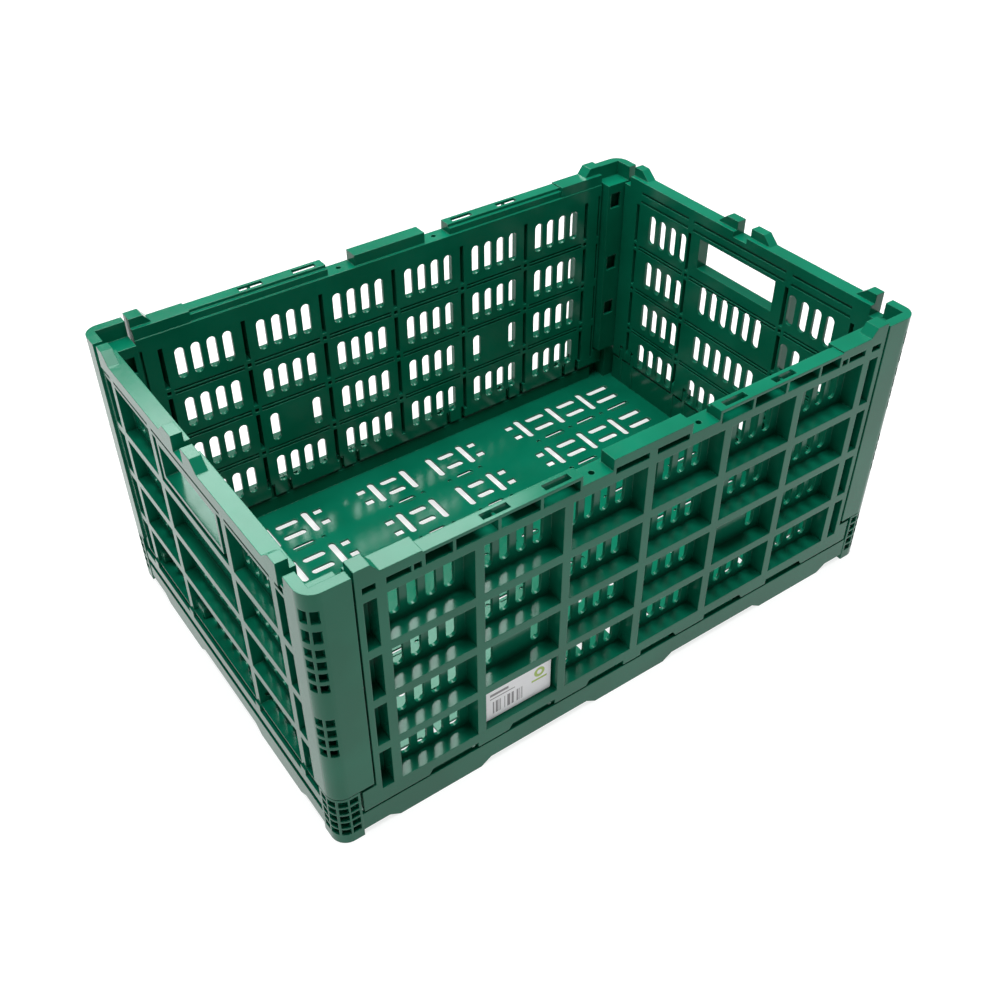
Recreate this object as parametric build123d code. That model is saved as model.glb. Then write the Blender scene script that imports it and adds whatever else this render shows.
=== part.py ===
"""Collapsible storage crate: a base tray, four folding walls, four corner posts, hinge pins and a label.

Millimetres. The origin is the centre of the footprint on the ground, +X runs along the long side, +Z is up.
Every wall is drawn flat first: x along its length, y its height and z its depth outwards from the inner face.
It is then stood up as if it were the front wall, and turned about Z to the side that it belongs to.
"""
import os
from build123d import *

# Overall module
LENGTH = 600.0
WIDTH = 400.0
CORNER_RADIUS = 14.0
POST_TOP = 278.0
OVERLAP = 1.0                 # how far joined bodies of one moulding run into each other
MM3_PER_CM3 = 1000

# Outer grid, shared by all four walls
RIB = 8.0
RIB_PITCH_Z = 52.5
LOWEST_RIB_Z = 40.5
RIB_HEIGHT = 8.5
ROWS = 4
BAND_LOW = 250.0              # lower edge of the top band
TOP_GROOVE = 252.0
RAIL_TOP = 262.0
SKIN = 3.0
FACE = 3.0

# Inner face
SLOT_WIDTH = 9.2
SLOT_HEIGHT = 32.0
SLOT_PITCH = 15.6
SLOT_LIFT = -0.5
SLOT_STEPS = (-1.5, -0.5, 0.5, 1.5)
CHANNEL = 4.4
FINE_CHANNEL = 2.0
FINE_OFFSET = 1.8
CROSSING = 11.0
CROSSING_HOLE = 4.0
EDGE_CHANNEL = (258.2, 260.6)

# Long walls
LONG_HALF = 262.0
LONG_INNER = 181.0
LONG_DEPTH = 18.5
LONG_BOTTOM = {"front": 28.5, "back": 35.0}
COLUMN_PITCH = 80.75
COLUMN_RIBS = 7
EDGE_WINDOW_END = 257.0
WALL_FOOT_HALF = 274.5
WALL_FOOT_TOP = 53.0
BARE_CELLS = ((1, 1), (4, 1))  # column and row from below, where only the outermost slots are open
RAIL_RECESSES = ((10.0, 52.5), (86.3, 134.8), (165.5, 214.3))
RAIL_RECESS_HEIGHT = 5.5
RAIL_RECESS_DEPTH = 8.0
RAIL_RECESS_SLOPE = 4.0

# Rim of the long walls
CENTRE_HALF = 39.5
LOW_END = 69.0
PAD_START = 208.5
SLOPE_START = 242.4
BUMP_START = 249.0
THIN_RIM_TOP = 271.5
INNER_LEDGE_TOP = 268.5
RIM_TOP = 273.0
BUMP_TOP = 281.5
RIM_STEP = 5.0                # depth at which the bumps start
THIN_RIM_STEP = 6.0
INNER_LEDGE_STEP = 2.5
CENTRE_BLOCK_STEP = 3.0
PAD_STEP = 1.0
RIM_WINDOW_LOW = 258.3        # windows under the rim, open outwards
RIM_WINDOW_BACK = 8.5
THIN_WINDOWS = ((71.0, 105.1), (107.7, 142.7), (145.3, 181.2), (183.8, 206.5))
THIN_WINDOW_TOP = 268.7
THICK_WINDOWS = ((4.0, 37.0), (209.5, 216.0), (218.0, 238.0), (246.25, 257.0))
THICK_WINDOW_TOP = 264.0
RIM_POCKETS = ((77.0, 101.0), (132.0, 156.0))
RIM_POCKET_DEPTH = 4.0
RIM_POCKET_Y = (9.0, 15.5)    # measured from the wall's inner face
PEG_HOLE = (54.0, 9.7)        # along the wall, and outwards from its inner face
PEG_HOLE_RADIUS = 2.5
PEG_HOLE_DEPTH = 10.0

# End walls
END_HALF = 170.5
END_INNER = 285.0
END_DEPTH = 13.0
END_BOTTOM = 48.0
END_LEDGE = 1.5               # solid strip under the lowest cells
END_BAND_WINDOW = (253.5, 259.5)
END_RIBS = (-147.0, -67.0, 67.0, 147.0)
END_EDGE_WINDOW = 164.0
END_SIDE_SLOT = 76.3
END_SIDE_SLOTS = 4
END_MIDDLE_SLOTS = 6
END_MIDDLE_LIFTS = (-2.5, 1.0, 8.0)  # the rows under the handle are spread out
END_RIM_DEPTH = 15.0
END_RIM_TOP = 272.5
END_RIM_HALF = 162.0
END_GAP_HALF = 9.0
END_GAP_TOP = 267.0
END_BUMPS = ((9.0, 25.0, 35.0), (162.0, 151.0, 140.0))  # steep end, end of the flat top, foot of the ramp
HANDLE_HALF = 52.0
HANDLE_LOW = 213.0
HANDLE_HIGH = 246.0
HANDLE_FRAME = 4.0
INNER_CHANNEL_DEPTH = 6.0
INNER_GROOVE_Z = (250.0, 252.5)
INNER_GROOVE_DEPTH = 2.0

# Corner posts
POST_BOTTOM = 57.0
POST_LONG_ARM = 36.0
POST_SHORT_ARM = 28.0
POST_SHELL = 3.0
POST_LEDGE = 263.0
LIP = 9.0
TALL_WINDOWS = (256.5, 237.5)
TALL_WINDOW_HEIGHT = 12.0
SMALL_WINDOWS = (221.5, 209.5, 197.5, 185.5, 148.0, 136.5, 125.0, 113.5)
SMALL_WINDOW_HEIGHT = 8.3
WINDOW_NEAR = 5.0             # window edges, measured from the post's outer faces
WINDOW_FAR = 11.0
WINDOW_DEPTH = 7.0
INNER_WINDOWS = (112.5, 170.0, 244.5)
INNER_WINDOW_MARGIN = 4.0
INNER_WINDOW_HEIGHT = 17.0
POST_WEB = 17.0               # web behind the inner windows, measured from the outer face
POST_WEB_THICK = 2.0
TENON = 9.6
TENON_LENGTH = 12.0
TENON_CLEARANCE = 0.1

# Base tray
FLOOR_TOP = 14.0
FLOOR_THICK = 2.2
SKIRT_OUT = 0.5               # the skirt stands this far inside the footprint
SKIRT_THICK = 3.5
SKIRT_LOW = 6.5
SKIRT_TOP = {"front": 26.5, "back": 30.0, "left": 41.0, "right": 41.0}
END_GROOVE = (22.0, 30.0)     # groove along the outer face of the end skirts
END_GROOVE_DEPTH = 2.2
STUB_TOP = 47.3               # stubs on the end skirts, in line with the end walls' ribs
LATTICE_X = 23.0
LATTICE_Y = 24.0
LATTICE_ROWS = 5
LATTICE_PITCH = 9.0
LATTICE_FIRST = 14.0
LATTICE_WINDOW = 7.0
LATTICE_COLUMNS = ((5.0, 11.9), (13.5, 21.0))  # window edges, measured from the outer faces
CORNER_SEAM = 0.8             # height of the groove under the post
CORNER_SEAM_DEPTH = 1.0
FOOT_DEPTH = 12.0
FOOT_RAMP = 10.0
LONG_FEET = (-203.0, 0.0, 203.0)
LONG_FOOT_HALF = 40.0
END_FEET = (-98.0, 98.0)
END_FOOT_HALF = 36.0
BACK_CURB_TOP = 29.5
BACK_CURB_SETBACK = 3.0
END_CURB_TOP = 44.0
END_CURB_SETBACK = 1.0
CURB_THICK = 3.0
CURB_RIB_STEP = 24.0
CURB_RIB_DEPTH = 8.0
CURB_RIB_THICK = 2.0
CURB_RIB_DROP = 2.0
UNDER_RIB = 3.0
UNDER_RIB_LOW = 3.0
UNDER_RIB_X = (-275.0, -97.5, 0.0, 97.5, 275.0)

# Floor openings: rows repeat along Y, columns mirror about X = 0
FLOOR_ROW_PITCH = 59.0
FLOOR_ROWS = 6
LONG_SLOT = 35.0
FLOOR_SLOT_WIDTH = 7.3
CROSS_SLOT_OFFSET = 9.5
LONG_SLOT_X = (17.0, 57.0, 137.0, 182.0, 227.0)
CROSS_SLOT_X = ((27.0, 47.0), (147.0, 172.0), (192.0, 217.0), (237.0, 267.0))
SMALL_HOLE_X = (71.0, 123.5)
SMALL_HOLE = (9.5, 7.3)
ROUND_HOLE_RADIUS = 2.6

# Hinges: distance outwards from the crate's centre line, height, knuckle radius, places along the wall
PIN_RADIUS = 2.95
BORE_RADIUS = 3.0
KNUCKLE_HALF = 7.0
EAR_THICK = 4.0
HINGE_SLACK = 0.5
EAR_CLEARANCE = 0.7
NOTCH_HALF = KNUCKLE_HALF + HINGE_SLACK + EAR_THICK + EAR_CLEARANCE
NOTCH_RISE = 6.5
SPOT_SHIFT = 13.0             # the long walls' hinges lie this far inside the column ribs
LONG_SPOTS = sorted(side * (i * COLUMN_PITCH - SPOT_SHIFT) for i in (1, 2, 3) for side in (-1, 1))
END_SPOTS = (-147.0, -58.0, 58.0, 147.0)
HINGES = {
    "front": dict(out=190.5, z=24.0, radius=5.0, spots=LONG_SPOTS),
    "back": dict(out=191.0, z=43.5, radius=5.0, spots=LONG_SPOTS),
    "left": dict(out=290.0, z=57.5, radius=4.5, spots=END_SPOTS),
    "right": dict(out=290.0, z=57.5, radius=4.5, spots=END_SPOTS),
}
TURN = {"front": 0, "back": 180, "left": -90, "right": 90}
BAND_BOTTOM = 21.0            # lower edge of the front wall's inner closing band

# Label on a raised plate in the second cell of the front wall's lowest row
LABEL_SIZE = (66.0, 36.0)
LABEL_THICK = 0.5
LABEL_CENTRE = (-120.5, 64.0)
LABEL_BACK = 193.0            # distance of the plate's face from the crate's centre line
PLATE_THICK = 2.0
PLATE_END = -86.5
PLATE_TOP = 83.0


def rect(x0, x1, y0, y1):
    return Pos((x0 + x1) / 2, (y0 + y1) / 2) * Rectangle(x1 - x0, y1 - y0)


def slab(x0, x1, y0, y1, z0, z1):
    return Pos((x0 + x1) / 2, (y0 + y1) / 2, (z0 + z1) / 2) * Box(x1 - x0, y1 - y0, z1 - z0)


def layer(sketch, low, high):
    return Pos(0, 0, low) * extrude(sketch, high - low, dir=(0, 0, 1))


def upright_slot(x, z):
    return Pos(x, z) * SlotOverall(SLOT_HEIGHT, SLOT_WIDTH, rotation=90)


def both_sides(span):
    low, high = span
    return ((low, high), (-high, -low))


def spread(side, near, far):
    """Ends of a span on the given side of the middle, the lower one first."""
    return sorted((side * near, side * far))


def rib_centres_z():
    return [LOWEST_RIB_Z + RIB_PITCH_Z * row for row in range(ROWS)]


def row_spans():
    """Height range of each row of cells, from the lowest up; the top row ends under the thin band."""
    ribs = rib_centres_z()
    tops = [z - RIB_HEIGHT / 2 for z in ribs[1:]] + [BAND_LOW]
    return [(z + RIB_HEIGHT / 2, top) for z, top in zip(ribs, tops)]


def column_spans(ribs):
    return [(a + RIB / 2, b - RIB / 2) for a, b in zip(ribs, ribs[1:])]


def inner_channels(ribs):
    """Grooves that hollow the outer ribs from inside, with a small open box left at each crossing."""
    cuts = []
    heights = rib_centres_z()
    upper = heights[1:] + [TOP_GROOVE]
    for x in ribs:
        for low, high in zip(heights, upper):
            cuts.append(rect(x - CHANNEL / 2, x + CHANNEL / 2, low + CROSSING / 2, high - CROSSING / 2))
        for z in heights[1:]:
            cuts.append(rect(x - CROSSING_HOLE / 2, x + CROSSING_HOLE / 2,
                             z - CROSSING_HOLE / 2, z + CROSSING_HOLE / 2))
    for a, b in zip(ribs, ribs[1:]):
        for z in heights[1:]:
            for offset in (-FINE_OFFSET, FINE_OFFSET):
                cuts.append(rect(a + CROSSING / 2, b - CROSSING / 2,
                                 z + offset - FINE_CHANNEL / 2, z + offset + FINE_CHANNEL / 2))
    return cuts


def wall_panel(outline, ribs, slots, pockets, depth):
    """Slotted inner skin, channelled ribs behind it and plain rib faces outside."""
    channels = inner_channels(ribs)
    skin = outline - slots - channels
    ribbing = outline - pockets - channels
    face = outline - pockets
    return (layer(skin, 0, SKIN) + layer(ribbing, SKIN, depth - FACE)
            + layer(face, depth - FACE, depth))


def stand_up(panel, inner):
    return Pos(0, -inner, 0) * Rot(90, 0, 0) * panel


def rod(x, hinge, radius, length):
    return Pos(x, -hinge["out"], hinge["z"]) * Rot(0, 90, 0) * Cylinder(radius, length)


def knuckles(hinge, bottom):
    """Wall side of a hinge: blocks between the wall's bottom edge and the axis, rounded about the axis."""
    out, z, radius = hinge["out"], hinge["z"], hinge["radius"]
    return [slab(x - KNUCKLE_HALF, x + KNUCKLE_HALF, -out - radius, -out + radius,
                 min(bottom, z), max(bottom + OVERLAP, z))
            + rod(x, hinge, radius, 2 * KNUCKLE_HALF) for x in hinge["spots"]]


def ears(hinge):
    """Base side of a hinge: two plates that hold each pin."""
    out, z, radius = hinge["out"], hinge["z"], hinge["radius"]
    plates = []
    for x in hinge["spots"]:
        for side in (-1, 1):
            centre = x + side * (KNUCKLE_HALF + HINGE_SLACK + EAR_THICK / 2)
            plates.append(slab(centre - EAR_THICK / 2, centre + EAR_THICK / 2,
                               -out - radius, -out + radius, FLOOR_TOP - FLOOR_THICK / 2, z)
                          + rod(centre, hinge, radius, EAR_THICK))
    return plates


def bores(hinge):
    return [rod(x, hinge, BORE_RADIUS, 4 * NOTCH_HALF) for x in hinge["spots"]]


def hinge_pins(side):
    hinge = HINGES[side]
    length = 2 * (KNUCKLE_HALF + HINGE_SLACK + EAR_THICK)
    return Compound(children=[Rot(0, 0, TURN[side]) * rod(x, hinge, PIN_RADIUS, length)
                              for x in hinge["spots"]])


def ear_slots(hinge, bottom):
    """Room in the wall for the ears, from its inner face to just behind them; the outer face stays whole."""
    out, z, radius = hinge["out"], hinge["z"], hinge["radius"]
    back, top = out + radius + HINGE_SLACK, z + NOTCH_RISE
    return [slab(x + near, x + far, -back, 0, bottom - OVERLAP, top)
            for x in hinge["spots"] for near, far in both_sides((KNUCKLE_HALF, NOTCH_HALF))]


def hang_on_hinges(wall, hinge, bottom):
    return wall + knuckles(hinge, bottom) - ear_slots(hinge, bottom) - bores(hinge)


def long_wall(side):
    hinge = HINGES[side]
    ribs = [COLUMN_PITCH * (i - COLUMN_RIBS // 2) for i in range(COLUMN_RIBS)]
    columns = column_spans(ribs)
    rows = row_spans()
    bottom = LONG_BOTTOM[side]
    outline = rect(-LONG_HALF, LONG_HALF, bottom, RAIL_TOP)
    outline += rect(-WALL_FOOT_HALF, WALL_FOOT_HALF, bottom, WALL_FOOT_TOP)

    slots = []
    for c, (x0, x1) in enumerate(columns):
        for r, (z0, z1) in enumerate(rows):
            for step in SLOT_STEPS:
                if (c, r) not in BARE_CELLS or step in (SLOT_STEPS[0], SLOT_STEPS[-1]):
                    slots.append(upright_slot((x0 + x1) / 2 + step * SLOT_PITCH, (z0 + z1) / 2 + SLOT_LIFT))

    edge = (ribs[-1] + RIB / 2, EDGE_WINDOW_END)
    pockets = [rect(x0, x1, z0, z1) for x0, x1 in [*columns, *both_sides(edge)] for z0, z1 in rows]

    wall = wall_panel(outline, ribs, slots, pockets, LONG_DEPTH) + long_rim()
    wall = wall - rail_recesses(bottom) - rim_windows() - edge_channels()
    wall = stand_up(wall, LONG_INNER) - peg_holes()
    if side == "front":
        edges = (-LONG_HALF - NOTCH_HALF, *LONG_SPOTS, LONG_HALF + NOTCH_HALF)
        wall += [slab(a + NOTCH_HALF, b - NOTCH_HALF, -LONG_INNER - SKIN, -LONG_INNER,
                      BAND_BOTTOM, bottom + OVERLAP) for a, b in zip(edges, edges[1:])]
        wall += label_plate(columns[1][0], rows[0][0])
    return Rot(0, 0, TURN[side]) * hang_on_hinges(wall, hinge, bottom)


def rail_recesses(bottom):
    """Shallow recesses along the lower outer edge; their ends away from the middle slope."""
    low, top = bottom - OVERLAP, bottom + RAIL_RECESS_HEIGHT
    cuts = []
    for near, far in RAIL_RECESSES:
        for side in (1, -1):
            shape = Polygon((side * near, low), (side * near, top),
                            (side * (far - RAIL_RECESS_SLOPE), top), (side * far, low), align=None)
            cuts.append(layer(shape, LONG_DEPTH - RAIL_RECESS_DEPTH, LONG_DEPTH + OVERLAP))
    return cuts


def rim_windows():
    """Windows along the outer face under the rim: tall under its thin stretches, low under the thick ones."""
    return [layer(rect(x0, x1, RIM_WINDOW_LOW, top), RIM_WINDOW_BACK, LONG_DEPTH + OVERLAP)
            for spans, top in ((THIN_WINDOWS, THIN_WINDOW_TOP), (THICK_WINDOWS, THICK_WINDOW_TOP))
            for span in spans for x0, x1 in both_sides(span)]


def edge_channels():
    """Upright grooves in the inner face beside the wall's ends, one for each row of cells."""
    return [layer(rect(x0, x1, low, high), -OVERLAP, SKIN + OVERLAP)
            for x0, x1 in both_sides(EDGE_CHANNEL) for low, high in row_spans()]


def peg_holes():
    """Blind vertical holes in the two low tabs of the rim."""
    x, depth = PEG_HOLE
    return [Pos(side * x, -LONG_INNER - depth, RAIL_TOP) * Cylinder(PEG_HOLE_RADIUS, 2 * PEG_HOLE_DEPTH)
            for side in (-1, 1)]


def label_plate(cell_left, cell_floor):
    """Thin plate that carries the label, joined to the cell's left rib and its floor."""
    return slab(cell_left - OVERLAP, PLATE_END, -LABEL_BACK, -LABEL_BACK + PLATE_THICK,
                cell_floor - OVERLAP, PLATE_TOP)


def long_rim():
    """Top edge: centre block, low tabs beside it, thin rim with pockets, wide pads and end bumps."""
    root = RAIL_TOP - OVERLAP
    rim = layer(rect(-CENTRE_HALF, CENTRE_HALF, root, RIM_TOP), CENTRE_BLOCK_STEP, LONG_DEPTH)
    for side in (1, -1):
        thin = rect(*spread(side, LOW_END, PAD_START), root, THIN_RIM_TOP)
        ledge = rect(*spread(side, LOW_END, PAD_START), root, INNER_LEDGE_TOP)
        pad = rect(*spread(side, PAD_START, LONG_HALF), root, RIM_TOP)
        bump = Polygon((side * SLOPE_START, RIM_TOP - OVERLAP), (side * SLOPE_START, RIM_TOP),
                       (side * BUMP_START, BUMP_TOP), (side * LONG_HALF, BUMP_TOP),
                       (side * LONG_HALF, RIM_TOP - OVERLAP), align=None)
        rim += [layer(thin, THIN_RIM_STEP, LONG_DEPTH), layer(ledge, INNER_LEDGE_STEP, LONG_DEPTH),
                layer(pad, PAD_STEP, LONG_DEPTH), layer(bump, RIM_STEP, LONG_DEPTH)]
    pockets = [slab(x0, x1, THIN_RIM_TOP - RIM_POCKET_DEPTH, THIN_RIM_TOP + OVERLAP, *RIM_POCKET_Y)
               for span in RIM_POCKETS for x0, x1 in both_sides(span)]
    return rim - pockets


def end_wall(side):
    hinge = HINGES[side]
    columns = column_spans(END_RIBS)
    rows = row_spans()
    outline = rect(-END_HALF, END_HALF, END_BOTTOM, RAIL_TOP)

    slots = []
    for z0, z1 in rows:
        height = (z0 + z1) / 2 + SLOT_LIFT
        for step in range(END_SIDE_SLOTS):
            x = END_SIDE_SLOT + step * SLOT_PITCH
            slots += [upright_slot(x, height), upright_slot(-x, height)]
    for (z0, z1), lift in zip(rows, END_MIDDLE_LIFTS):
        slots += [upright_slot((step - (END_MIDDLE_SLOTS - 1) / 2) * SLOT_PITCH, (z0 + z1) / 2 + lift)
                  for step in range(END_MIDDLE_SLOTS)]

    pockets = []
    edge = (END_RIBS[-1] + RIB / 2, END_EDGE_WINDOW)
    for x0, x1 in [*columns, *both_sides(edge)]:
        pockets += [rect(x0, x1, max(z0, END_BOTTOM + END_LEDGE), z1) for z0, z1 in rows]
        pockets.append(rect(x0, x1, *END_BAND_WINDOW))

    wall = wall_panel(outline, END_RIBS, slots, pockets, END_DEPTH)
    frame = rect(-HANDLE_HALF - HANDLE_FRAME, HANDLE_HALF + HANDLE_FRAME,
                 HANDLE_LOW - HANDLE_FRAME, BAND_LOW + OVERLAP)
    wall += layer(frame, 0, END_DEPTH)
    wall -= layer(rect(-HANDLE_HALF, HANDLE_HALF, HANDLE_LOW, HANDLE_HIGH), -OVERLAP, END_DEPTH + OVERLAP)
    wall += end_rim()
    for (low, high), depth in (((END_BAND_WINDOW[1], RAIL_TOP), INNER_CHANNEL_DEPTH),
                               (INNER_GROOVE_Z, INNER_GROOVE_DEPTH)):
        wall -= [layer(rect(x0, x1, low, high), -OVERLAP, depth) for x0, x1 in columns]
    return Rot(0, 0, TURN[side]) * hang_on_hinges(stand_up(wall, END_INNER), hinge, END_BOTTOM)


def end_rim():
    """Top edge in two halves, each with a ramped bump at either end."""
    root = RAIL_TOP - OVERLAP
    rim = layer(rect(-END_GAP_HALF, END_GAP_HALF, root, END_GAP_TOP), 0, END_RIM_DEPTH)
    for side in (1, -1):
        half = rect(*spread(side, END_GAP_HALF, END_RIM_HALF), root, END_RIM_TOP)
        rim += layer(half, 0, END_RIM_DEPTH)
        for steep, flat, foot in END_BUMPS:
            bump = Polygon((side * steep, root), (side * steep, BUMP_TOP), (side * flat, BUMP_TOP),
                           (side * foot, END_RIM_TOP), (side * foot, root), align=None)
            rim += layer(bump, RIM_STEP, END_RIM_DEPTH)
    return rim


def corner_profile(long_arm, short_arm, inset):
    """Rectangle in the front left corner, rounded on its outer corner and drawn in by inset."""
    shape = rect(-LENGTH / 2 + inset, -LENGTH / 2 + long_arm - inset,
                 -WIDTH / 2 + inset, -WIDTH / 2 + short_arm - inset)
    outer = shape.vertices().sort_by(lambda v: v.X + v.Y)[0]
    return fillet(outer, CORNER_RADIUS - inset)


def corner_windows(z, height, near, far):
    """One window through each outer face beside the rounded corner."""
    x, y = -LENGTH / 2, -WIDTH / 2
    low, high = z - height / 2, z + height / 2
    return [slab(x + near, x + far, y - OVERLAP, y + WINDOW_DEPTH, low, high),
            slab(x - OVERLAP, x + WINDOW_DEPTH, y + near, y + far, low, high)]


def corner_post():
    """Front left post: hollow rounded column with an L-shaped lip and a tenon for the base corner."""
    post = layer(corner_profile(POST_LONG_ARM, POST_SHORT_ARM, 0), POST_BOTTOM, POST_TOP)
    x, y = -LENGTH / 2, -WIDTH / 2
    cuts = [layer(corner_profile(POST_LONG_ARM, POST_SHORT_ARM, POST_SHELL),
                  POST_BOTTOM + POST_SHELL, POST_LEDGE - POST_SHELL),
            slab(x + LIP, x + POST_LONG_ARM + OVERLAP, y + LIP, y + POST_SHORT_ARM + OVERLAP,
                 POST_LEDGE, POST_TOP + OVERLAP)]
    for z in TALL_WINDOWS:
        cuts += corner_windows(z, TALL_WINDOW_HEIGHT, WINDOW_NEAR, WINDOW_FAR)
    for z in SMALL_WINDOWS:
        cuts += corner_windows(z, SMALL_WINDOW_HEIGHT, WINDOW_NEAR, WINDOW_FAR)
    for z in INNER_WINDOWS:
        cuts.append(slab(-END_INNER + INNER_WINDOW_MARGIN, x + POST_LONG_ARM - INNER_WINDOW_MARGIN,
                         y + POST_SHORT_ARM - POST_SHELL - OVERLAP, y + POST_SHORT_ARM + OVERLAP,
                         z - INNER_WINDOW_HEIGHT / 2, z + INNER_WINDOW_HEIGHT / 2))
    web = slab(x + POST_SHELL - OVERLAP, x + POST_LONG_ARM - POST_SHELL + OVERLAP,
               y + POST_WEB, y + POST_WEB + POST_WEB_THICK,
               POST_BOTTOM + POST_SHELL - OVERLAP, POST_LEDGE - POST_SHELL + OVERLAP)
    tenon_x, tenon_y = x + LATTICE_X / 2, y + LATTICE_Y / 2
    tenon = slab(tenon_x - TENON / 2, tenon_x + TENON / 2, tenon_y - TENON / 2, tenon_y + TENON / 2,
                 POST_BOTTOM - TENON_LENGTH, POST_BOTTOM + OVERLAP)
    return post - cuts + web + tenon


def base_corner():
    """Front left corner of the base: a latticed block with a socket for the post."""
    block = layer(corner_profile(LATTICE_X, LATTICE_Y, 0), 0, POST_BOTTOM)
    cuts = [layer(corner_profile(LATTICE_X, LATTICE_Y, POST_SHELL), SKIRT_LOW, POST_BOTTOM - POST_SHELL)]
    for row in range(LATTICE_ROWS):
        z = LATTICE_FIRST + row * LATTICE_PITCH
        for near, far in LATTICE_COLUMNS:
            cuts += corner_windows(z, LATTICE_WINDOW, near, far)
    seam = corner_profile(LATTICE_X, LATTICE_Y, 0) - corner_profile(LATTICE_X, LATTICE_Y, CORNER_SEAM_DEPTH)
    cuts.append(layer(seam, POST_BOTTOM - CORNER_SEAM, POST_BOTTOM + OVERLAP))
    x, y = -LENGTH / 2 + LATTICE_X / 2, -WIDTH / 2 + LATTICE_Y / 2
    half = TENON / 2 + TENON_CLEARANCE
    cuts.append(slab(x - half, x + half, y - half, y + half, SKIRT_LOW, POST_BOTTOM + OVERLAP))
    return block - cuts


def four_corners(solid):
    left = [solid, mirror(solid, Plane.XZ)]
    return left + [mirror(s, Plane.YZ) for s in left]


def side_foot(centre, half, outer):
    """Ramped foot under the skirt, as on the front side, whose outer face is at -outer."""
    low, high = centre - half, centre + half
    root = SKIRT_LOW + OVERLAP
    profile = Polygon((low - FOOT_RAMP, SKIRT_LOW), (low, 0), (high, 0), (high + FOOT_RAMP, SKIRT_LOW),
                      (high + FOOT_RAMP, root), (low - FOOT_RAMP, root), align=None)
    return Pos(0, -outer, 0) * Rot(90, 0, 0) * layer(profile, -FOOT_DEPTH, 0)


def side_feet(centres, half, outer):
    return [side_foot(centre, half, outer) for centre in centres]


def skirt(side, half, outer):
    return slab(-half, half, -outer, -outer + SKIRT_THICK, SKIRT_LOW, SKIRT_TOP[side])


def end_skirt(side, half, outer):
    """Skirt under an end wall, grooved along its outer face, with stubs in line with the wall's ribs."""
    stubs = [slab(x - RIB / 2, x + RIB / 2, -outer, -outer + SKIRT_THICK, SKIRT_TOP[side] - OVERLAP, STUB_TOP)
             for x in END_RIBS]
    groove = slab(-half, half, -outer - OVERLAP, -outer + END_GROOVE_DEPTH, *END_GROOVE)
    return skirt(side, half, outer) - groove + stubs


def curb(half, inner, top):
    """Upstand with vertical ribs behind it, which closes the gap under a wall."""
    root = FLOOR_TOP - OVERLAP
    plate = slab(-half, half, -inner - CURB_THICK, -inner, root, top)
    count = int(half // CURB_RIB_STEP)
    middles = [i * CURB_RIB_STEP for i in range(-count, count + 1)]
    ribs = [slab(x - CURB_RIB_THICK / 2, x + CURB_RIB_THICK / 2, -inner - CURB_RIB_DEPTH, -inner - OVERLAP,
                 root, top - CURB_RIB_DROP) for x in middles]
    return [plate, *ribs]


def floor_openings():
    openings = []
    rows = [(i - (FLOOR_ROWS - 1) / 2) * FLOOR_ROW_PITCH for i in range(FLOOR_ROWS)]
    gaps = [(a + b) / 2 for a, b in zip(rows, rows[1:])]
    for side in (-1, 1):
        for y in rows:
            openings += [Pos(side * x, y) * SlotOverall(LONG_SLOT, FLOOR_SLOT_WIDTH, rotation=90)
                         for x in LONG_SLOT_X]
            for offset in (-CROSS_SLOT_OFFSET, CROSS_SLOT_OFFSET):
                openings += [Pos(side * (a + b) / 2, y + offset) * SlotOverall(b - a, FLOOR_SLOT_WIDTH)
                             for a, b in CROSS_SLOT_X]
                openings += [Pos(side * x, y + offset) * Rectangle(*SMALL_HOLE) for x in SMALL_HOLE_X]
        for y in gaps:
            openings += [Pos(side * (a + b) / 2, y) * SlotOverall(b - a, FLOOR_SLOT_WIDTH)
                         for a, b in CROSS_SLOT_X]
            openings += [Pos(side * x, y) * Circle(ROUND_HOLE_RADIUS) for x in LONG_SLOT_X]
    return openings


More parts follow.
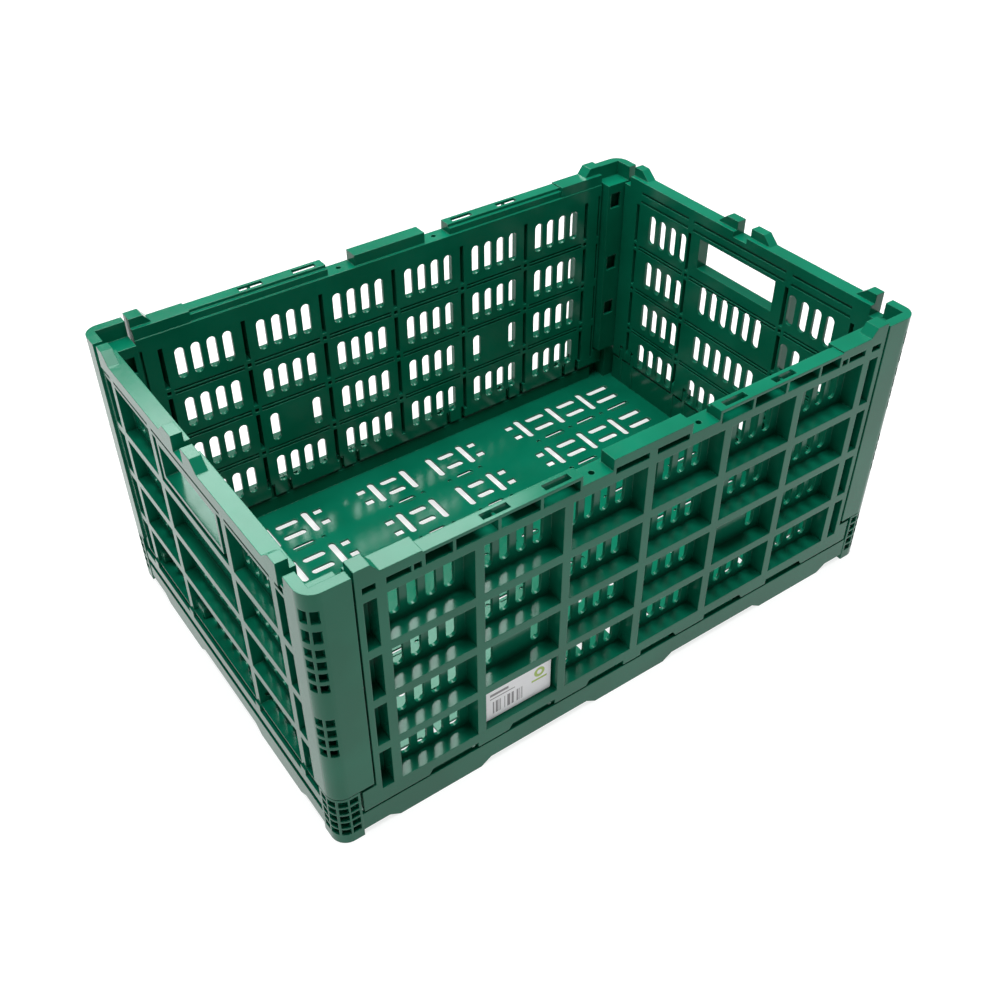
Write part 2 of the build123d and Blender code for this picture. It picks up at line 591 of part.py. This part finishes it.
def base():
    half_x, half_y = LENGTH / 2 - SKIRT_OUT, WIDTH / 2 - SKIRT_OUT
    reach_x, reach_y = half_x - SKIRT_THICK + OVERLAP, half_y - SKIRT_THICK + OVERLAP
    inner_x, inner_y = LENGTH / 2 - LATTICE_X + OVERLAP, WIDTH / 2 - LATTICE_Y + OVERLAP
    sheet = rect(-reach_x, reach_x, -inner_y, inner_y) + rect(-inner_x, inner_x, -reach_y, reach_y)
    tray = layer(sheet - floor_openings(), FLOOR_TOP - FLOOR_THICK, FLOOR_TOP)

    parts = four_corners(base_corner())
    for side in ("front", "back"):
        parts += [Rot(0, 0, TURN[side]) * piece
                  for piece in [skirt(side, inner_x, half_y), *side_feet(LONG_FEET, LONG_FOOT_HALF, half_y)]]
    for side in ("left", "right"):
        pieces = [end_skirt(side, inner_y, half_x), *side_feet(END_FEET, END_FOOT_HALF, half_x)]
        parts += [Rot(0, 0, TURN[side]) * piece for piece in pieces]
    parts += [Rot(0, 0, TURN["back"]) * piece
              for piece in curb(LONG_HALF, LONG_INNER + BACK_CURB_SETBACK, BACK_CURB_TOP)]
    for side in ("left", "right"):
        parts += [Rot(0, 0, TURN[side]) * piece
                  for piece in curb(END_HALF, END_INNER + END_CURB_SETBACK, END_CURB_TOP)]
    for side, hinge in HINGES.items():
        parts += [Rot(0, 0, TURN[side]) * ear for ear in ears(hinge)]

    rib_top = FLOOR_TOP - FLOOR_THICK + OVERLAP
    rows = range(-(FLOOR_ROWS // 2 - 1), FLOOR_ROWS // 2)
    parts += [Pos(0, i * FLOOR_ROW_PITCH) * slab(-reach_x, reach_x, -UNDER_RIB / 2, UNDER_RIB / 2,
                                                 UNDER_RIB_LOW, rib_top) for i in rows]
    parts += [slab(x - UNDER_RIB / 2, x + UNDER_RIB / 2, -reach_y, reach_y, UNDER_RIB_LOW, rib_top)
              for x in UNDER_RIB_X]
    tray += parts
    holes = [Rot(0, 0, TURN[side]) * bore for side, hinge in HINGES.items() for bore in bores(hinge)]
    return tray - holes


def label():
    x, z = LABEL_CENTRE
    width, height = LABEL_SIZE
    return slab(x - width / 2, x + width / 2, -LABEL_BACK - LABEL_THICK, -LABEL_BACK,
                z - height / 2, z + height / 2)


def single(shape):
    """The one solid of a moulding."""
    return shape.solids().sort_by(SortBy.VOLUME)[-1]


def main():
    os.makedirs("parts", exist_ok=True)
    nodes = {
        "base_tray": single(base()),
        "front_long_wall": single(long_wall("front")),
        "back_long_wall": single(long_wall("back")),
        "left_end_wall": single(end_wall("left")),
        "right_end_wall": single(end_wall("right")),
        "front_label": label(),
    }
    names = ("post_front_left", "post_back_left", "post_front_right", "post_back_right")
    for name, post in zip(names, four_corners(corner_post())):
        nodes[name] = single(post)
    for side in HINGES:
        nodes[f"{side}_hinge_pins"] = hinge_pins(side)
    for name, shape in nodes.items():
        export_step(shape, f"parts/{name}.step")
        print(name, len(shape.solids()), "solids", round(shape.volume / MM3_PER_CM3, 1), "cm3")


main()
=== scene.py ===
"""Looks for the collapsible crate: moulded green plastic, hinge pins, a printed label, studio and camera."""

import math

import bpy
from mathutils import Matrix, Vector


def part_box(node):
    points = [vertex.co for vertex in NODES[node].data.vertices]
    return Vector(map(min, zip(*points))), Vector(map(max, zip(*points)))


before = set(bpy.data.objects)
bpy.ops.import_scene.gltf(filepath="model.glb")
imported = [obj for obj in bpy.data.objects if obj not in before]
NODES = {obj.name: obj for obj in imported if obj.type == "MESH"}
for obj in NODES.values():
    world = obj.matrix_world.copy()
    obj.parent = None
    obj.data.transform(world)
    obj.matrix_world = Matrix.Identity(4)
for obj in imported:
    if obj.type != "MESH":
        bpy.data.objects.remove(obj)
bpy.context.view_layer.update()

PIN_NODES = [name for name in NODES if name.endswith("hinge_pins")]
LABEL_NODE = "front_label"
GREEN_NODES = [name for name in NODES if name not in PIN_NODES and name != LABEL_NODE]

# Colours, linear RGB
GREEN = (0.002, 0.118, 0.066)
GREEN_DEEP = (0.001, 0.098, 0.053)
GREEN_WORN = (0.030, 0.200, 0.120)
PIN_GREEN = (0.003, 0.060, 0.032)
PIN_GREEN_WORN = (0.020, 0.130, 0.080)
PAPER = (0.86, 0.86, 0.87)
PAPER_SHADE = (0.78, 0.78, 0.80)
INK = (0.13, 0.12, 0.13)
LEAF_INK = (0.36, 0.50, 0.10)
SHINE_TINT = (0.80, 1.0, 0.92)   # highlights on this plastic are mint, not white

# Colour sockets of the Mix node, by place, because its sockets for other data types have the same names
MIX_A = 6
MIX_B = 7
MIX_RESULT = 2

# Plastic surface, lengths in metres; a band is the part of a noise that a ramp stretches
GREEN_ROUGHNESS = 0.15
PIN_ROUGHNESS = 0.40
PLASTIC_SPECULAR = 0.27
PLASTIC_IOR = 1.49
NOISE_ROUGHNESS = 0.5
GRAIN_SIZE = 0.0009
GRAIN_DEPTH = 0.00004
GRAIN_STRENGTH = 0.6
GRAIN_DETAIL = 2.0
FLOW_SIZE = 0.060
FLOW_DETAIL = 2.0
FLOW_BAND = (0.35, 0.65)
SMEAR_SIZE = 0.012
SMEAR_DETAIL = 5.0
SMEAR_NOISE_ROUGHNESS = 0.65
SMEAR_BAND = (0.45, 0.75)
SMEAR_DULLING = 0.07
RUB_SIZE = SMEAR_SIZE / 4
RUB_DETAIL = 4.0
RUB_BAND = (0.30, 0.60)
RUB_RANGE = (0.15, 0.55)
RUB_DULLING = 0.15
EDGE_RADIUS = 0.0009
EDGE_BAND = (0.995, 0.80)     # cosine between the flat and the rounded normal, off an edge and on it
BEVEL_SAMPLES = 4

# Label print: spans are shares of the label's width and height
BAR_CELLS = 90.0
BAR_SHARE = 0.45              # a cell stays white up to this random value
BARS = (0.10, 0.56, 0.16, 0.56)
TITLE_LINE = (0.06, 0.34, 0.76, 0.84)
SMALL_LINE = (0.06, 0.44, 0.66, 0.69)
INK_SHARE = 0.85
RING_CENTRE = (0.82, 0.74)
RING_RADII = (0.07, 0.15)     # shares of the height
UNDERLINE = (0.70, 0.94, 0.48, 0.54)

# Label paper, lengths in metres
PAPER_DETAIL = 3.0
MOTTLE_SIZE = 0.008
PAPER_SHEEN_SIZE = 0.004
PAPER_SHEEN_BAND = (0.3, 0.7)
PAPER_ROUGHNESS = (0.42, 0.55)
WRINKLE_SIZE = 0.010
WRINKLE_DETAIL = 2.0
WRINKLE_DEPTH = 0.0003
WRINKLE_STRENGTH = 0.25

# Studio
FLOOR_SIZE = 12.0
FLOOR_COLOUR = (0.28, 0.28, 0.28)
FLOOR_LIGHT = (1.0, 1.0, 1.0)
FLOOR_GLOW = 0.80             # the floor is a lit panel, so it is pale under the crate too
FLOOR_ROUGHNESS = 0.7
WORLD_COLOUR = (1.0, 1.0, 1.0)
WORLD_STRENGTH = 0.20
AIM = (0, 0, 0.15)            # every softbox faces this point
SOFTBOXES = {                 # place and size in metres, power in watts
    "overhead_softbox": ((0.0, 0.0, 1.9), (1.6, 1.2), 62),
    "back_softbox": ((0.35, 1.45, 1.85), (1.3, 1.0), 42),
    "side_softbox": ((-1.9, 0.2, 0.8), (1.0, 1.0), 1),
}

# Camera, metres and degrees
CAMERA_PLACE = (-0.50285, -0.70097, 0.80987)
CAMERA_AZIMUTH = -34.458
CAMERA_ELEVATION = 39.975
CAMERA_ROLL = -0.722
CAMERA_LENS = 41.98
CAMERA_SENSOR = 36.0
CAMERA_SHIFT = (0.01766, -0.00765)
CLIP_NEAR = 0.01
CLIP_FAR = 100


class Nodes:
    """A material's node tree, with short calls for the nodes used here."""

    def __init__(self, name):
        self.material = bpy.data.materials.new(name)
        self.material.use_nodes = True
        self.tree = self.material.node_tree
        self.shader = self.tree.nodes["Principled BSDF"]

    def add(self, kind, inputs=None, **settings):
        node = self.tree.nodes.new(kind)
        for key, value in settings.items():
            setattr(node, key, value)
        for key, value in (inputs or {}).items():
            self.feed(node.inputs[key], value)
        return node

    def feed(self, socket, value):
        if isinstance(value, bpy.types.NodeSocket):
            self.tree.links.new(value, socket)
        elif isinstance(value, tuple) and len(value) == 3 and socket.type == "RGBA":
            socket.default_value = (*value, 1.0)
        else:
            socket.default_value = value

    def set(self, key, value):
        self.feed(self.shader.inputs[key], value)

    def place(self):
        return self.add("ShaderNodeTexCoord").outputs["Object"]

    def noise(self, place, size, detail, roughness=NOISE_ROUGHNESS):
        node = self.add("ShaderNodeTexNoise", {"Vector": place, "Scale": 1 / size, "Detail": detail,
                                               "Roughness": roughness})
        return node.outputs["Fac"]

    def ramp(self, value, low, high, out_low=0.0, out_high=1.0):
        node = self.add("ShaderNodeMapRange", {"Value": value, "From Min": low, "From Max": high,
                                               "To Min": out_low, "To Max": out_high})
        return node.outputs["Result"]

    def math(self, operation, a, b=0.0):
        return self.add("ShaderNodeMath", {0: a, 1: b}, operation=operation).outputs[0]

    def mix(self, share, a, b):
        node = self.add("ShaderNodeMix", {"Factor": share}, data_type="RGBA")
        self.feed(node.inputs[MIX_A], a)
        self.feed(node.inputs[MIX_B], b)
        return node.outputs[MIX_RESULT]

    def edges(self, radius):
        """1 on outer and inner edges within radius, 0 on flat faces, and the rounded normal."""
        rounded = self.add("ShaderNodeBevel", {"Radius": radius}, samples=BEVEL_SAMPLES).outputs["Normal"]
        flat = self.add("ShaderNodeNewGeometry").outputs["Normal"]
        cosine = self.add("ShaderNodeVectorMath", {0: rounded, 1: flat}, operation="DOT_PRODUCT")
        return self.ramp(cosine.outputs["Value"], *EDGE_BAND), rounded


def plastic(name, base, deep, worn, roughness):
    """Injection-moulded polypropylene: slow colour drift, fine grain, handling smears and paler edges."""
    n = Nodes(name)
    place = n.place()
    flow = n.ramp(n.noise(place, FLOW_SIZE, FLOW_DETAIL), *FLOW_BAND)
    smear = n.ramp(n.noise(place, SMEAR_SIZE, SMEAR_DETAIL, SMEAR_NOISE_ROUGHNESS), *SMEAR_BAND)
    edge, rounded = n.edges(EDGE_RADIUS)
    rub = n.math("MULTIPLY", edge, n.ramp(n.noise(place, RUB_SIZE, RUB_DETAIL), *RUB_BAND, *RUB_RANGE))
    colour = n.mix(flow, deep, base)
    n.set("Base Color", n.mix(rub, colour, worn))
    dulling = n.math("ADD", n.math("MULTIPLY", smear, SMEAR_DULLING), n.math("MULTIPLY", rub, RUB_DULLING))
    n.set("Roughness", n.math("ADD", dulling, roughness))
    n.set("Specular IOR Level", PLASTIC_SPECULAR)
    n.set("Specular Tint", SHINE_TINT)
    n.set("IOR", PLASTIC_IOR)
    grain = n.add("ShaderNodeBump", {"Height": n.noise(place, GRAIN_SIZE, GRAIN_DETAIL),
                                     "Distance": GRAIN_DEPTH, "Strength": GRAIN_STRENGTH, "Normal": rounded})
    n.set("Normal", grain.outputs["Normal"])
    return n.material


def paint(node, material):
    """Gives a CAD node this material in every slot."""
    mesh = NODES[node].data
    mesh.materials.clear()
    mesh.materials.append(material)


def label_paper():
    """White coated paper printed with plain bars, two grey lines and an underlined green ring."""
    low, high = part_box(LABEL_NODE)
    n = Nodes("label_print")
    place = n.place()
    split = n.add("ShaderNodeSeparateXYZ", {"Vector": place})
    across = n.ramp(split.outputs["X"], low.x, high.x)
    up = n.ramp(split.outputs["Z"], low.z, high.z)

    def between(value, start, end):
        return n.math("MULTIPLY", n.math("GREATER_THAN", value, start), n.math("LESS_THAN", value, end))

    def block(x0, x1, z0, z1):
        return n.math("MULTIPLY", between(across, x0, x1), between(up, z0, z1))

    cell = n.math("FLOOR", n.math("MULTIPLY", across, BAR_CELLS))
    random_bar = n.add("ShaderNodeTexWhiteNoise", {"W": cell}, noise_dimensions="1D").outputs["Value"]
    bars = n.math("MULTIPLY", n.math("GREATER_THAN", random_bar, BAR_SHARE), block(*BARS))
    lines = n.math("MAXIMUM", block(*TITLE_LINE), block(*SMALL_LINE))
    ink = n.math("MAXIMUM", bars, lines)
    dx = n.math("MULTIPLY", n.math("SUBTRACT", across, RING_CENTRE[0]), (high.x - low.x) / (high.z - low.z))
    dz = n.math("SUBTRACT", up, RING_CENTRE[1])
    distance = n.math("SQRT", n.math("ADD", n.math("MULTIPLY", dx, dx), n.math("MULTIPLY", dz, dz)))
    ring = between(distance, *RING_RADII)
    underline = block(*UNDERLINE)
    paper = n.mix(n.noise(place, MOTTLE_SIZE, PAPER_DETAIL), PAPER_SHADE, PAPER)
    printed = n.mix(n.math("MULTIPLY", ink, INK_SHARE), paper, INK)
    n.set("Base Color", n.mix(n.math("MAXIMUM", ring, underline), printed, LEAF_INK))
    sheen = n.noise(place, PAPER_SHEEN_SIZE, PAPER_DETAIL)
    n.set("Roughness", n.ramp(sheen, *PAPER_SHEEN_BAND, *PAPER_ROUGHNESS))
    wrinkle = n.add("ShaderNodeBump", {"Height": n.noise(place, WRINKLE_SIZE, WRINKLE_DETAIL),
                                       "Distance": WRINKLE_DEPTH, "Strength": WRINKLE_STRENGTH})
    n.set("Normal", wrinkle.outputs["Normal"])
    return n.material


def floor():
    """Pale floor, part of the studio."""
    bpy.ops.mesh.primitive_plane_add(size=FLOOR_SIZE, location=(0, 0, 0))
    plane = bpy.context.object
    plane.name = "studio_floor"
    n = Nodes("studio_floor")
    n.set("Base Color", FLOOR_COLOUR)
    n.set("Roughness", FLOOR_ROUGHNESS)
    n.set("Emission Color", FLOOR_LIGHT)
    n.set("Emission Strength", FLOOR_GLOW)
    plane.data.materials.append(n.material)


def area_light(name, place, size, power):
    data = bpy.data.lights.new(name, "AREA")
    data.shape = "RECTANGLE"
    data.size, data.size_y = size
    data.energy = power
    lamp = bpy.data.objects.new(name, data)
    bpy.context.scene.collection.objects.link(lamp)
    lamp.location = place
    lamp.rotation_mode = "QUATERNION"
    lamp.rotation_quaternion = (Vector(AIM) - Vector(place)).to_track_quat("-Z", "Y")


def studio():
    world = bpy.data.worlds.new("studio")
    bpy.context.scene.world = world
    world.use_nodes = True
    background = world.node_tree.nodes["Background"]
    background.inputs["Color"].default_value = (*WORLD_COLOUR, 1.0)
    background.inputs["Strength"].default_value = WORLD_STRENGTH
    for name, (place, size, power) in SOFTBOXES.items():
        area_light(name, place, size, power)
    floor()


def camera():
    data = bpy.data.cameras.new("camera")
    data.lens = CAMERA_LENS
    data.sensor_width = CAMERA_SENSOR
    data.shift_x, data.shift_y = CAMERA_SHIFT
    data.clip_start = CLIP_NEAR
    data.clip_end = CLIP_FAR
    cam = bpy.data.objects.new("camera", data)
    bpy.context.scene.collection.objects.link(cam)
    azimuth, elevation, roll = (math.radians(a) for a in (CAMERA_AZIMUTH, CAMERA_ELEVATION, CAMERA_ROLL))
    back = Vector((math.sin(azimuth) * math.cos(elevation), -math.cos(azimuth) * math.cos(elevation),
                   math.sin(elevation)))
    right = (-back).cross(Vector((0, 0, 1))).normalized()
    up = right.cross(-back)
    turned_right = math.cos(roll) * right + math.sin(roll) * up
    turned_up = -math.sin(roll) * right + math.cos(roll) * up
    axes = Matrix((turned_right, turned_up, back)).transposed()
    cam.matrix_world = Matrix.Translation(CAMERA_PLACE) @ axes.to_4x4()
    bpy.context.scene.camera = cam


def main():
    green = plastic("green_moulded_plastic", GREEN, GREEN_DEEP, GREEN_WORN, GREEN_ROUGHNESS)
    pin = plastic("pin_plastic", PIN_GREEN, PIN_GREEN, PIN_GREEN_WORN, PIN_ROUGHNESS)
    for name in GREEN_NODES:
        paint(name, green)
    for name in PIN_NODES:
        paint(name, pin)
    paint(LABEL_NODE, label_paper())
    studio()
    camera()
    bpy.context.scene.view_settings.view_transform = "Standard"


main()
